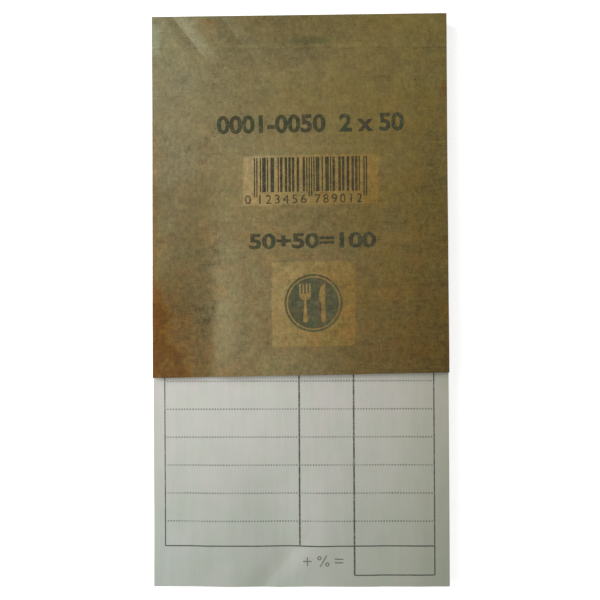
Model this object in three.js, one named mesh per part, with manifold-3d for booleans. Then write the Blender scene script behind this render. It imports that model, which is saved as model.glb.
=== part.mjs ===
// Guest check pad: a kraft cover wrapped round the back and the bound top edge, a chipboard back,
// fifty two-part sets of carbonless forms, and one steel staple through their stubs.
// Millimetres. X runs across the pad, +Y towards the bound edge, +Z out of the front cover.
// The origin is the middle of the back face, on which the pad lies.

import * as THREE from 'three';
import { mergeVertices } from 'three/addons/utils/BufferGeometryUtils.js';
import Module from 'manifold-3d';

const wasm = await Module();
wasm.setup();

// Driving dimensions of the block
const padWidth = 83;
const padLength = 161;
const boardThickness = 1.0;
const sheetThickness = 0.07;
const sheetsPerSet = 2;
const setCount = 50;
const looseSetCount = 3; // the sets on top, whose leaves turn and tear off
const maxBlockPieces = 47; // a thicker pad is cut into as many pieces, of more sets each

// Driving dimensions of the kraft cover
const kraftThickness = 0.2;
const innerBendRadius = 0.3;
const stripDepth = 9.5; // from the bound edge to the crease
const flapReach = 101.4; // from the bound edge to the middle of the flap's lower edge
const flapSkew = 1.3; // how much further the lower edge hangs on the left than on the right
const flapLift = 1.6; // how far the crease's spring holds the lower edge off the top sheet
const flapLiftPower = 1.6;
const flapSteps = 24;

// Driving dimensions of the tear line
const perforationSlit = 0.2;
const tieWidth = 1.1;
const tieCount = 20;

// Driving dimensions of the staple
const crownLength = 12;
const wireWidth = 0.7;
const wireThickness = 0.45;
const wireBendRadius = 0.25;
const stapleFromTop = 7.4;
const stapleOffset = 4; // from the pad's middle, to the right
const clinchLength = 4.5;
const setsUnderCrown = 2; // how many sets of stubs the crown is pressed into
const stapleClearance = 0.3;
const embossWall = 0.1; // kraft left round the crown's pocket at the top of the bulge
const embossSlope = 0.5; // width of the bulge's slope

// Heights of the layers
const setThickness = sheetThickness * sheetsPerSet;
const boardBottom = kraftThickness;
const stackBottom = boardBottom + boardThickness;
const stackTop = stackBottom + setThickness * setCount;
const frontFace = stackTop + kraftThickness;

// Lines along the pad
const topEdge = padLength / 2;
const bottomEdge = -padLength / 2;
const bindingEdge = topEdge - kraftThickness - innerBendRadius;
const crease = topEdge - stripDepth;

// Places of the staple
const stapleLine = topEdge - stapleFromTop;
const crownSeat = stackTop - setsUnderCrown * setThickness;
const crownTop = crownSeat + wireThickness;

// Finishes
const finishes = {
  kraft: { color: 0x776b48, roughness: 0.9, metalness: 0 },
  chipboard: { color: 0x8f897c, roughness: 0.95, metalness: 0 },
  whitePaper: { color: 0xcfd0c6, roughness: 0.85, metalness: 0 },
  yellowPaper: { color: 0xdccb7c, roughness: 0.85, metalness: 0 },
  wire: { color: 0xa9abae, roughness: 0.35, metalness: 1 },
};

// A named piece with a material of its own
function piece(name, geometry, finish) {
  const mesh = new THREE.Mesh(geometry, new THREE.MeshStandardMaterial(finishes[finish]));
  mesh.name = name;
  return mesh;
}

// Solids for cutting and joining
function toSolid(geometry) {
  const bare = geometry.clone();
  bare.deleteAttribute('normal');
  bare.deleteAttribute('uv');
  const merged = mergeVertices(bare, 1e-4);
  return new wasm.Manifold(new wasm.Mesh({
    numProp: 3,
    vertProperties: new Float32Array(merged.attributes.position.array),
    triVerts: new Uint32Array(merged.index.array),
  }));
}

function toGeometry(solid) {
  const mesh = solid.getMesh();
  const geometry = new THREE.BufferGeometry();
  geometry.setAttribute('position', new THREE.BufferAttribute(new Float32Array(mesh.vertProperties), 3));
  geometry.setIndex(new THREE.BufferAttribute(new Uint32Array(mesh.triVerts), 1));
  geometry.computeVertexNormals();
  return geometry;
}

// A block given by its lowest and highest corners
function block(low, high) {
  const [width, length, height] = high.map((value, axis) => value - low[axis]);
  const geometry = new THREE.BoxGeometry(width, length, height);
  const middle = high.map((value, axis) => (value + low[axis]) / 2);
  return geometry.translate(...middle);
}

// A profile in the YZ plane, swept across the whole width of the pad
function acrossPad(profile) {
  const geometry = new THREE.ExtrudeGeometry(profile, { depth: padWidth, bevelEnabled: false });
  const turn = new THREE.Matrix4().makeBasis(
    new THREE.Vector3(0, 1, 0), new THREE.Vector3(0, 0, 1), new THREE.Vector3(1, 0, 0));
  return geometry.applyMatrix4(turn).translate(-padWidth / 2, 0, 0);
}

// A flat outline in the XY plane, of one thickness
function plate(outline, thickness) {
  return new THREE.ExtrudeGeometry(outline, { depth: thickness, bevelEnabled: false });
}

function rectangle(left, bottom, right, top) {
  const outline = new THREE.Shape();
  outline.moveTo(left, bottom);
  outline.lineTo(right, bottom);
  outline.lineTo(right, top);
  outline.lineTo(left, top);
  outline.closePath();
  return outline;
}

// The two staple legs, as the side of each one's centre line
const legSides = [-1, 1];
const legCentre = (crownLength - wireThickness) / 2;

// A plate of paper or board, from the lines that bound it, with holes cut right through it
function pierced(bottom, thickness, holes) {
  const outline = rectangle(-padWidth / 2, bottom, padWidth / 2, bindingEdge);
  const cut = holes.reduce((solid, hole) => solid.subtract(toSolid(hole)), toSolid(plate(outline, thickness)));
  return toGeometry(cut);
}

function staplePunch(halfWire, middle, thickness) {
  const halfX = halfWire + stapleClearance;
  const halfY = wireWidth / 2 + stapleClearance;
  return block([middle - halfX, stapleLine - halfY, -thickness],
    [middle + halfX, stapleLine + halfY, 2 * thickness]);
}

function legHoles(thickness) {
  return legSides.map((side) => staplePunch(wireThickness / 2, stapleOffset + side * legCentre, thickness));
}

function crownSlot(thickness) {
  return [staplePunch(crownLength / 2, stapleOffset, thickness)];
}

// Kraft cover: back, spine and front strip

// One sheet folded round the block, with a bulge over the staple's crown
function coverWrap() {
  const outer = innerBendRadius + kraftThickness;
  const backBend = boardBottom + innerBendRadius;
  const frontBend = stackTop - innerBendRadius;
  const profile = new THREE.Shape();
  profile.moveTo(bottomEdge, 0);
  profile.lineTo(bindingEdge, 0);
  profile.absarc(bindingEdge, backBend, outer, -Math.PI / 2, 0, false);
  profile.absarc(bindingEdge, frontBend, outer, 0, Math.PI / 2, false);
  profile.lineTo(crease, frontFace);
  profile.lineTo(crease, stackTop);
  profile.lineTo(bindingEdge, stackTop);
  profile.absarc(bindingEdge, frontBend, innerBendRadius, Math.PI / 2, 0, true);
  profile.absarc(bindingEdge, backBend, innerBendRadius, 0, -Math.PI / 2, true);
  profile.lineTo(bottomEdge, boardBottom);
  profile.closePath();
  return toGeometry(toSolid(acrossPad(profile)).add(toSolid(crownBulge())).subtract(toSolid(crownPocket())));
}

// The raised place over the crown, with sloping sides
function crownBulge() {
  const top = crownTop + kraftThickness;
  const root = stackTop + kraftThickness / 2;
  const halfX = crownLength / 2 + stapleClearance + embossWall;
  const halfY = wireWidth / 2 + stapleClearance + embossWall;
  const rise = (top - root) / (top - frontFace);
  const slope = embossSlope * rise;
  const geometry = new THREE.BoxGeometry(2, 2, top - root);
  const corners = geometry.attributes.position;
  for (let i = 0; i < corners.count; i += 1) {
    const grow = corners.getZ(i) < 0 ? slope : 0;
    corners.setX(i, corners.getX(i) * (halfX + grow));
    corners.setY(i, corners.getY(i) * (halfY + grow));
  }
  return geometry.translate(stapleOffset, stapleLine, (top + root) / 2);
}

function crownPocket() {
  const halfX = crownLength / 2 + stapleClearance;
  const halfY = wireWidth / 2 + stapleClearance;
  return block([stapleOffset - halfX, stapleLine - halfY, stackTop - kraftThickness],
    [stapleOffset + halfX, stapleLine + halfY, crownTop]);
}

// Kraft cover: the front flap below the crease

// The flap's height over the top sheet, at a share of the way from the crease to the lower edge
function flapRise(share) {
  return flapLift * share ** flapLiftPower;
}

function coverFlap() {
  const longest = flapReach + flapSkew / 2 - stripDepth;
  const profile = new THREE.Shape();
  profile.moveTo(crease, stackTop);
  for (let i = 1; i <= flapSteps; i += 1) {
    const share = i / flapSteps;
    profile.lineTo(crease - longest * share, stackTop + flapRise(share));
  }
  for (let i = flapSteps; i >= 0; i -= 1) {
    const share = i / flapSteps;
    profile.lineTo(crease - longest * share, frontFace + flapRise(share));
  }
  profile.closePath();
  return toGeometry(toSolid(acrossPad(profile)).subtract(toSolid(lowerEdgeCutter())));
}

// The guillotine's cut, a little out of square, that leaves the left side longer
function lowerEdgeCutter() {
  const margin = 5;
  const depth = flapSkew + margin;
  const angle = Math.atan2(flapSkew, padWidth);
  const low = stackTop - margin;
  const high = frontFace + flapLift + margin;
  const cutter = block([-padWidth / 2 - margin, -depth, low], [padWidth / 2 + margin, 0, high]);
  return cutter.rotateZ(angle).translate(0, topEdge - flapReach, 0);
}

// Chipboard back, with the clinched legs let into its back face
function backingBoard() {
  let board = toSolid(block([-padWidth / 2, bottomEdge, boardBottom], [padWidth / 2, bindingEdge, stackBottom]));
  const halfY = wireWidth / 2 + stapleClearance;
  for (const side of legSides) {
    const outside = stapleOffset + side * (legCentre + wireThickness / 2 + stapleClearance);
    const legInside = stapleOffset + side * (legCentre - wireThickness / 2 - stapleClearance);
    const clinchEnd = stapleOffset + side * (crownLength / 2 - clinchLength - stapleClearance);
    const span = (a, b, low, high) => toSolid(block(
      [Math.min(a, b), stapleLine - halfY, low], [Math.max(a, b), stapleLine + halfY, high]));
    board = board.subtract(span(outside, legInside, 0, stackBottom + 1));
    board = board.subtract(span(outside, clinchEnd, 0, boardBottom + wireThickness));
  }
  return toGeometry(board);
}

// Staple: flat wire bent to a crown and two legs, clinched inwards behind the board
function staple() {
  const outer = wireBendRadius + wireThickness;
  const half = crownLength / 2;
  const foot = half - clinchLength;
  const low = boardBottom;
  const high = crownTop;
  const profile = new THREE.Shape();
  profile.moveTo(-half, high - outer);
  profile.absarc(-half + outer, high - outer, outer, Math.PI, Math.PI / 2, true);
  profile.absarc(half - outer, high - outer, outer, Math.PI / 2, 0, true);
  profile.absarc(half - outer, low + outer, outer, 0, -Math.PI / 2, true);
  profile.lineTo(foot + wireThickness, low);
  profile.lineTo(foot, low + wireThickness);
  profile.absarc(half - outer, low + outer, wireBendRadius, -Math.PI / 2, 0, false);
  profile.absarc(half - outer, high - outer, wireBendRadius, 0, Math.PI / 2, false);
  profile.absarc(-half + outer, high - outer, wireBendRadius, Math.PI / 2, Math.PI, false);
  profile.absarc(-half + outer, low + outer, wireBendRadius, Math.PI, Math.PI * 1.5, false);
  profile.lineTo(-foot, low + wireThickness);
  profile.lineTo(-foot - wireThickness, low);
  profile.absarc(-half + outer, low + outer, outer, Math.PI * 1.5, Math.PI, true);
  profile.closePath();
  const geometry = new THREE.ExtrudeGeometry(profile,
    { depth: wireWidth, bevelEnabled: false, curveSegments: 6 });
  return geometry.rotateX(Math.PI / 2).translate(stapleOffset, stapleLine + wireWidth / 2, 0);
}

// One leaf, with the paper ties that hold it to its stub between the slits
function leaf() {
  const slitEdge = crease - perforationSlit;
  const pitch = padWidth / tieCount;
  const outline = new THREE.Shape();
  outline.moveTo(-padWidth / 2, bottomEdge);
  outline.lineTo(padWidth / 2, bottomEdge);
  outline.lineTo(padWidth / 2, slitEdge);
  for (let i = tieCount - 1; i >= 0; i -= 1) {
    const middle = -padWidth / 2 + pitch * (i + 0.5);
    outline.lineTo(middle + tieWidth / 2, slitEdge);
    outline.lineTo(middle + tieWidth / 2, crease);
    outline.lineTo(middle - tieWidth / 2, crease);
    outline.lineTo(middle - tieWidth / 2, slitEdge);
  }
  outline.lineTo(-padWidth / 2, slitEdge);
  outline.closePath();
  return plate(outline, sheetThickness);
}

// The stubs of one set, glued along the bound edge and held by the staple
function stub(underCrown) {
  return pierced(crease, setThickness, underCrown ? crownSlot(setThickness) : legHoles(setThickness));
}

// Whole sets that stay in the block, leaves and stubs together
function blockSets(count) {
  const thickness = setThickness * count;
  return pierced(bottomEdge, thickness, legHoles(thickness));
}

// Assembly
const pad = new THREE.Group();
const number = (n) => String(n).padStart(2, '0');

const binding = new THREE.Group();
binding.add(piece('cover_wrap', coverWrap(), 'kraft'));
binding.add(piece('cover_flap', coverFlap(), 'kraft'));
binding.add(piece('backing_board', backingBoard(), 'chipboard'));
binding.add(piece('staple', staple(), 'wire'));
pad.add(binding);

// Each loose set: the original above its copy, and their stubs beside them
for (let n = 1; n <= looseSetCount; n += 1) {
  const set = new THREE.Group();
  set.position.z = stackTop - n * setThickness;
  const copy = piece(`copy_${number(n)}`, leaf(), 'yellowPaper');
  const original = piece(`original_${number(n)}`, leaf(), 'whitePaper');
  original.position.z = sheetThickness;
  set.add(copy, original, piece(`stub_${number(n)}`, stub(n <= setsUnderCrown), 'whitePaper'));
  pad.add(set);
}

// The block below them, set by set down to the board
const setsPerPiece = Math.ceil((setCount - looseSetCount) / maxBlockPieces);
for (let n = looseSetCount + 1; n <= setCount; n += setsPerPiece) {
  const count = Math.min(setsPerPiece, setCount - n + 1);
  const sets = piece(`set_${number(n)}`, blockSets(count), 'whitePaper');
  sets.position.z = stackTop - (n + count - 1) * setThickness;
  pad.add(sets);
}

export default pad;
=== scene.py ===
"""Looks of a guest check pad: its kraft cover, the printing on it, the ruled forms and their binding.

Lengths are in metres, in the solid model's frame: X across the pad, +Y to the bound edge, +Z out of it.
"""

import math
from functools import partialmethod

import bmesh
import bpy
import numpy as np
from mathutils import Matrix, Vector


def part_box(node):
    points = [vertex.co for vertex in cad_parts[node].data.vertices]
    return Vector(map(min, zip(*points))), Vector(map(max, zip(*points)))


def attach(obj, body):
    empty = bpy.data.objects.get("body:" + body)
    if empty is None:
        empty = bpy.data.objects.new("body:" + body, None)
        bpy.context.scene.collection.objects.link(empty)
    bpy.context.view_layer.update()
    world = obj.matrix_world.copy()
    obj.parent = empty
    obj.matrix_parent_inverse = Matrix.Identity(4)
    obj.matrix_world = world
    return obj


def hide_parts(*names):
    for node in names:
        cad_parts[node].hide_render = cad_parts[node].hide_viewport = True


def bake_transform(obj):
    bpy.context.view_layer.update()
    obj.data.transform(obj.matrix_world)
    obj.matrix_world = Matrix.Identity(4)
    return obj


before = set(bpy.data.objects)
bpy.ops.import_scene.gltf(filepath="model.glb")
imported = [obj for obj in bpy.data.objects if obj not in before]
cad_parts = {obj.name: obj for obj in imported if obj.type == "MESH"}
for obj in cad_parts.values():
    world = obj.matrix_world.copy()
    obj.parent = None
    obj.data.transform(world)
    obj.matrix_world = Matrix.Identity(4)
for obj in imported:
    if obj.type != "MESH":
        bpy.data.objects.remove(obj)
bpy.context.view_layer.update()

# Camera
# The photograph looks straight down on the pad, and so does the camera. It stands where the pad's outline
# and its ruled rows fit best.

MM = 0.001
PHOTO_SIDE = 600
FOCAL_PIXELS = 831
SENSOR_WIDTH = 36.0
CAMERA_PLACE = (5.32 * MM, 0.54 * MM, 242.3 * MM)
CAMERA_TURN = (-0.104, 1.310, -0.321)
NEAREST_SEEN = 10 * MM
scene = bpy.context.scene


def put(name, data):
    """An object for a mesh, curve, lamp or camera, added to the scene."""
    item = bpy.data.objects.new(name, data)
    scene.collection.objects.link(item)
    return item


camera_data = bpy.data.cameras.new("camera")
camera_data.sensor_width = SENSOR_WIDTH
camera_data.lens = FOCAL_PIXELS / PHOTO_SIDE * SENSOR_WIDTH
camera_data.clip_start = NEAREST_SEEN
camera = put("camera", camera_data)
camera.location = CAMERA_PLACE
camera.rotation_euler = tuple(math.radians(angle) for angle in CAMERA_TURN)
scene.camera = camera

# Kraft cover
# One sheet of unbleached kraft, 0.2 mm thick. It covers the back, turns over the bound edge, is glued over
# the stubs as a strip, and is creased there into the front flap. Its spring holds the flap's lower edge up.

KRAFT = 0.2 * MM
BEND_RADIUS = 0.3 * MM
strip_low, strip_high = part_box("cover_wrap")
flap_low, flap_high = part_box("cover_flap")
stub_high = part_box("stub_01")[1]
crown_low, crown_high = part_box("staple")
HALF_WIDTH = strip_high.x
TOP_EDGE = strip_high.y
BOTTOM_EDGE = strip_low.y
CREASE = flap_high.y
BINDING_EDGE = stub_high.y
FORM_TOP = stub_high.z
FLAP_SKEW = 1.3 * MM
FLAP_EDGE = flap_low.y + FLAP_SKEW / 2
FLAP_LIFT = flap_high.z - FORM_TOP - KRAFT
FLAP_LIFT_POWER = 1.6
EMBOSS, EMBOSS_REACH, EMBOSS_SLOPE = 0.17 * MM, 0.35 * MM, 0.9 * MM
SEAM = BINDING_EDGE - 0.6 * MM
FOLD_REACH = 0.1 * MM
FOLD_ZONE = 1.5 * FOLD_REACH
FOLD_ROWS = 17
FRONT_COLUMNS, STRIP_ROWS, FLAP_ROWS = 111, 41, 132
BACK_COLUMNS, BACK_ROWS = 60, 120
SHARP_ANGLE = math.radians(40)
# The UV map of a sheet laid flat: a unit is 0.4 m, and the pad's middle lies at 0.5, 0.2
UV_SPAN = 0.4
UV_SHIFT = 0.2


def ease(value, low, high):
    """0 below low, 1 above high, and a smooth step between them."""
    t = np.clip((value - low) / (high - low), 0, 1)
    return t * t * (3 - 2 * t)


def hump(value, centre, width):
    """A bell of height 1 and about the given width."""
    return np.exp(-(((value - centre) / width) ** 2))


def build_sheet(name, outer, inner, flat, finishes):
    """Closed sheets from grids of points, an outer and an inner face for each, joined by a rim.

    The grids have rows, columns and x, y, z, or one more axis in front for several sheets. flat is each
    point's x and y on the flat sheet, for the UV map "sheet". The last finish is the back's and the rim's.
    """
    rows, columns = outer.shape[-3:-1]
    count = rows * columns
    outer, inner = outer.reshape(-1, count, 3), inner.reshape(-1, count, 3)
    index = np.arange(count).reshape(rows, columns)

    def quads(a, b, c, d):
        return np.stack([part.ravel() for part in (a, b, c, d)], axis=1)

    face = quads(index[:-1, :-1], index[:-1, 1:], index[1:, 1:], index[1:, :-1])
    edge = np.concatenate([index[0, :], index[1:, -1], index[-1, -2::-1], index[-2:0:-1, 0]])
    following = np.roll(edge, -1)
    rim = quads(edge, edge + count, following + count, following)
    sheet = np.concatenate([face, face[:, ::-1] + count, rim])
    faces = (sheet[None] + 2 * count * np.arange(len(outer))[:, None, None]).reshape(-1, 4)
    points = np.concatenate([outer, inner], axis=1).reshape(-1, 3)
    mesh = bpy.data.meshes.new(name)
    mesh.from_pydata(points.tolist(), [], faces.tolist())
    layer = mesh.uv_layers.new(name="sheet")
    corners = np.zeros(len(mesh.loops), dtype=np.int32)
    mesh.loops.foreach_get("vertex_index", corners)
    flat = flat.reshape(-1, count, 2)
    place = np.concatenate([flat, flat], axis=1).reshape(-1, 2) / UV_SPAN + (0.5, UV_SHIFT)
    layer.data.foreach_set("uv", place[corners].astype(np.float32).ravel())
    for finish in finishes:
        mesh.materials.append(finish)
    slots = np.zeros(len(sheet), dtype=np.int32)
    slots[len(face):] = len(finishes) - 1
    mesh.polygons.foreach_set("material_index", np.tile(slots, len(outer)))
    mesh.shade_smooth()
    mesh.set_sharp_from_angle(angle=SHARP_ANGLE)
    return put(name, mesh)


def lying_sheet(name, x, y, low, high, finishes, flat=None):
    """Sheets that lie over the pad: their faces are two heights, low and high, over one grid of x and y.

    Rows run down the pad and columns to the right. flat is x and y on the flat sheet, where they differ.
    """
    x, y, low, high = (part[..., ::-1] for part in np.broadcast_arrays(x, y, low, high))
    flat = (x, y) if flat is None else [part[..., ::-1] for part in flat]
    faces = (np.stack([x, y, height], axis=-1) for height in (high, low))
    return build_sheet(name, *faces, np.stack(flat, axis=-1), finishes)


class Value:
    """A number that a shader works out at each point. Arithmetic on it adds nodes."""

    def __init__(self, finish, socket):
        self.finish = finish
        self.socket = socket

    def maths(self, operation, *others, clamp=False):
        settings = {"operation": operation, "use_clamp": clamp}
        return self.finish.add("ShaderNodeMath", settings, [self, *others])

    __add__ = __radd__ = partialmethod(maths, "ADD")
    __sub__ = partialmethod(maths, "SUBTRACT")
    __mul__ = __rmul__ = partialmethod(maths, "MULTIPLY")
    __truediv__ = partialmethod(maths, "DIVIDE")
    __pow__ = partialmethod(maths, "POWER")
    __abs__ = partialmethod(maths, "ABSOLUTE")
    highest = partialmethod(maths, "MAXIMUM")
    fraction = partialmethod(maths, "FRACT")

    def __rsub__(self, other):
        return self.finish.add("ShaderNodeMath", {"operation": "SUBTRACT"}, [other, self])

    def held(self):
        """The value kept between 0 and 1."""
        return self.maths("ADD", 0.0, clamp=True)

    def step(self, low, high):
        """A smooth step from 0 at low to 1 at high; low may be the larger of the two."""
        if low > high:
            return 1 - self.step(high, low)
        settings = {"interpolation_type": "SMOOTHSTEP"}
        return self.finish.add("ShaderNodeMapRange", settings, [self, low, high])

    def over(self, start, full, fade=None, end=None):
        """A smooth stretch: from 0 at start to 1 at full, and from fade back to 0 at end, if given."""
        rise = self.step(start, full)
        return rise if end is None else rise * self.step(end, fade)

    def inside(self, low, high, soft):
        """1 between low and high, with a soft edge on each side."""
        return self.over(low - soft / 2, low + soft / 2, high - soft / 2, high + soft / 2)


class Finish:
    """A material, or the world, whose nodes one method adds; x and y are the flat sheet's millimetres."""

    def __init__(self, name, uv_map="sheet", kind=bpy.data.materials, shader="Principled BSDF"):
        self.material = kind.new(name)
        self.material.use_nodes = True
        self.nodes = self.material.node_tree.nodes
        self.links = self.material.node_tree.links
        self.shader = self.nodes[shader]
        if uv_map:
            place = self.add("ShaderNodeUVMap", {"uv_map": uv_map}, [])
            self.x = (self.pick(place, "X") - 0.5) * (UV_SPAN / MM)
            self.y = (self.pick(place, "Y") - UV_SHIFT) * (UV_SPAN / MM)

    def add(self, kind, settings, inputs, output=0):
        """Adds a node: its settings first, then its sockets, in order or by name from a dictionary."""
        node = self.nodes.new(kind)
        for name, value in settings.items():
            setattr(node, name, value)
        for key, value in inputs.items() if isinstance(inputs, dict) else enumerate(inputs):
            self.fill(node.inputs[key], value)
        return Value(self, node.outputs[output])

    def fill(self, socket, value):
        """Links a worked-out value to a socket, or sets a plain one."""
        if isinstance(value, Value):
            self.links.new(value.socket, socket)
        else:
            socket.default_value = value

    def pick(self, vector, axis):
        return self.add("ShaderNodeSeparateXYZ", {}, [vector], output=axis)

    def place(self, x, y, z=0.0):
        return self.add("ShaderNodeCombineXYZ", {}, [x, y, z])

    def object_place(self, axes):
        """The named axes of Object coordinates, in millimetres."""
        place = self.add("ShaderNodeTexCoord", {}, [], output="Object")
        return [self.pick(place, axis) / MM for axis in axes]

    def patch(self, across, along):
        """A soft patch of the sheet: a stretch across it times one along it, each as over() takes them."""
        return self.x.over(*across) * self.y.over(*along)

    def noise(self, x, y, detail=2.0, roughness=0.5, layer=0.0, warp=0.0):
        """Fractal noise from 0 to 1 over scaled x and y; layer is z, or picks another pattern."""
        inputs = {"Vector": self.place(x, y, layer), "Scale": 1.0, "Detail": detail, "Roughness": roughness,
                  "Distortion": warp}
        return self.add("ShaderNodeTexNoise", {}, inputs)

    def specks(self, x, y, size, layer):
        """Round specks, one in some of the cells of a plane, as 1 on a speck and 0 off it."""
        cell = {"Vector": self.place(x, y, layer), "Scale": 1.0}
        distance = self.add("ShaderNodeTexVoronoi", {}, cell)
        chosen = self.pick(self.add("ShaderNodeTexVoronoi", {}, cell, output="Color"), "X")
        return distance.step(size, size * 0.5) * chosen.step(0.55, 0.75)

    def mix(self, first, second, share, blend_type="MIX"):
        """A colour between two others, by share."""
        settings = {"data_type": "RGBA", "blend_type": blend_type}
        return self.add("ShaderNodeMix", settings, {0: share, 6: first, 7: second}, output=2)

    def tints(self, colour, *pairs):
        """A colour multiplied by others in turn, each by its own share."""
        for by, share in pairs:
            colour = self.mix(colour, (*by, 1.0), share, blend_type="MULTIPLY")
        return colour

    def shade(self, colour, level):
        """A colour made lighter or darker by a level, where 1 leaves it."""
        return self.add("ShaderNodeVectorMath", {"operation": "SCALE"}, {"Vector": colour, "Scale": level})

    def set(self, **sockets):
        """Fills the shader's sockets, whose names are written with underscores."""
        for name, value in sockets.items():
            self.fill(self.shader.inputs[name.replace("_", " ")], value)

    def raise_by(self, height, strength, distance):
        """Relief in the light alone: a height of 1 stands for a distance."""
        sockets = {"Strength": strength, "Distance": distance, "Height": height}
        self.set(Normal=self.add("ShaderNodeBump", {}, sockets))

    def seen(self):
        """1 for a camera, mirror or glass ray, and 0 for the light that falls on the pad."""
        seen = 0.0
        for ray in ("Is Camera Ray", "Is Glossy Ray", "Is Transmission Ray"):
            seen = self.add("ShaderNodeLightPath", {}, [], output=ray).highest(seen)
        return seen


def srgb(red, green, blue):
    """A colour given in the usual 0 to 255 values, as the shader's linear one."""
    share = np.array([red, green, blue]) / 255
    linear = np.where(share <= 0.04045, share / 12.92, ((share + 0.055) / 1.055) ** 2.4)
    return (*linear.tolist(), 1.0)


# Places on the cover, in millimetres from the pad's middle: windows (left, right, low, high), the end of
# the front, the dent, and folds (place along FOLD_TURN, strength of the marks, height)
CODE_WINDOW = (-15.9, 22.1, 26.9, 40.9)
EMBLEM_WINDOW = (-7.9, 15.4, -12.8, 10.8)
PRINT_TILT = math.radians(0.6)
FRONT_END = (81, 86)
DENT_X, DENT_Y, DENT_LEAN, DENT_TOP = -21.4, 7.0, 0.065, 24.0
FOLD_TURN = (0.772, 0.636)
FOLDS = ((23.3, 1.0, 0.26), (33.7, 0.5, 0.10))
# Soft patches made lighter or darker or tinted, one of them painted shade: the change, and its stretches
# across and along
LEVEL_PATCHES = (
    (0.08, (-28, -16, 0, 12), (-15, -1, 39, 53)),
    (-0.07, (-32, -20, -1, 11), (45, 55, 59, 69)),
    (-0.08, (2, 14, 30, 42), (-9, -16)),
    (0.08, (-20, -12, -1, 7), (-7, -16)),
    # Painted shade on the dark side of the dent, to its left
    (-0.10, (-40.5, -35.5, -29.5, -24.5), (-14, 0, 17, 31)),
    (-0.15, (-30, -18, 2, 14), (64, 69, *FRONT_END)),
    (-0.07, (-49, -41, -26, -18), (26, 34, 42, 50)),
    (-0.07, (-8, 2, 27, 37), (16, 24, 26, 34)),
    (-0.06, (-30, -22, 18, 26), (70, 75, *FRONT_END)),
)
TINT_PATCHES = (
    ((1.0, 1.05, 1.12), (-20, -34), (44, 66, *FRONT_END)),
    ((1.08, 1.11, 1.20), (-35, -40), (69, 77, *FRONT_END)),
    ((1.04, 1.09, 1.26), (24, 31), (56, 64, *FRONT_END)),
    ((0.95, 0.945, 0.88), (26, 37), (52, 32)),
    ((0.985, 1.01, 1.11), (-26, -34), (14, 22, 62, 70)),
    ((1.03, 1.09, 1.13), (-15, -7, 8, 16), (-11, -16)),
)


def kraft_grain(finish, x, y):
    """The paper's grain, alike at every scale from 4 mm to 0.2 mm, and its finest part, both about 0."""
    grain = finish.noise(x * 0.28, y * 0.31, detail=5, roughness=0.92, layer=12.0) - 0.5
    pulp = finish.noise(x * 2.2, y * 2.8, roughness=0.8, layer=14.0) - 0.5
    long_grain = finish.noise(x * 1.05, y * 0.62, detail=1, roughness=0.6, layer=16.0) - 0.5
    return grain + long_grain * 0.38, pulp


def kraft_tooth(finish, height):
    """The dull, toothed surface of kraft: a weak gloss and a shallow relief."""
    finish.set(Specular_IOR_Level=0.22)
    finish.raise_by(height, 0.55, 0.07 * MM)


def kraft_paper(kraft):
    """Bare kraft's colour, and the level that makes it lighter or darker.

    The colour goes from grey at the left to a darker brown at the right and lower down, shifted by clouds,
    with redder and greener patches. The darkening is partly the paper's tone and partly painted shade where
    the lamp's light falls off. The level is 1 plus grain, clouds and the painted shading of long swells,
    less painted shade along the right edge, less dark fibres and plus pale ones.
    """
    x, y = kraft.x, kraft.y
    cloud = kraft.noise(x * 0.035, y * 0.04, detail=3, layer=2.0) - 0.5
    # Painted shade in part: the colour darkens lower down and to the right, where the lamp's light falls off
    down = y.step(70, -25)
    grey = kraft.mix(srgb(127, 117, 83), srgb(129, 115, 82), down)
    brown = kraft.mix(srgb(116, 100, 50), srgb(100, 80, 35), down)
    colour = kraft.mix(grey, brown, (x.step(-46, 46) + cloud * 0.9 + kraft.mottle * 0.5).held())
    red = kraft.noise(x * 0.17, y * 0.19, detail=4, roughness=0.62, layer=25.0)
    uneven = 0.5 + y.step(60, 5) * 0.5
    colour = kraft.tints(
        colour,
        ((1.07, 0.964, 0.91), red.step(0.46, 0.66) * uneven),
        ((0.96, 1.02, 0.988), red.step(0.50, 0.34) * uneven),
        ((1.0, 1.0, 1.22), (kraft.grain * 0.9 + kraft.pulp * 0.45 + 0.5).held()),
        ((1.0, 1.0, 0.906), 1.0),
    )
    depth = 0.84 + y.step(75, -10) * 0.28
    swells = kraft.noise(x * 0.085, y * 0.028, layer=44.0) - 0.5
    level = 1.0 + (kraft.grain * 1.75 + kraft.pulp * 0.92) * depth + kraft.mottle * 0.50 + cloud * 0.36
    # Painted shading of the long swells, and painted shade along the right edge, away from the lamp
    level = level + swells * 0.24 - x.step(24, 38) * 0.12
    patches = kraft.noise(x * 0.06, y * 0.11, layer=18.0).step(0.44, 0.62)
    streaky = x.step(2, 26) * y.step(28, 2)
    dark_fibre = kraft.fibre.step(0.55, 0.66) * (0.35 + patches * 0.65)
    pale_fibre = kraft.fibre.step(0.42, 0.28) * (1 - patches)
    return colour, level - dark_fibre * (0.17 + streaky * 0.15) + pale_fibre * (0.13 + streaky * 0.06)


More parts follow.
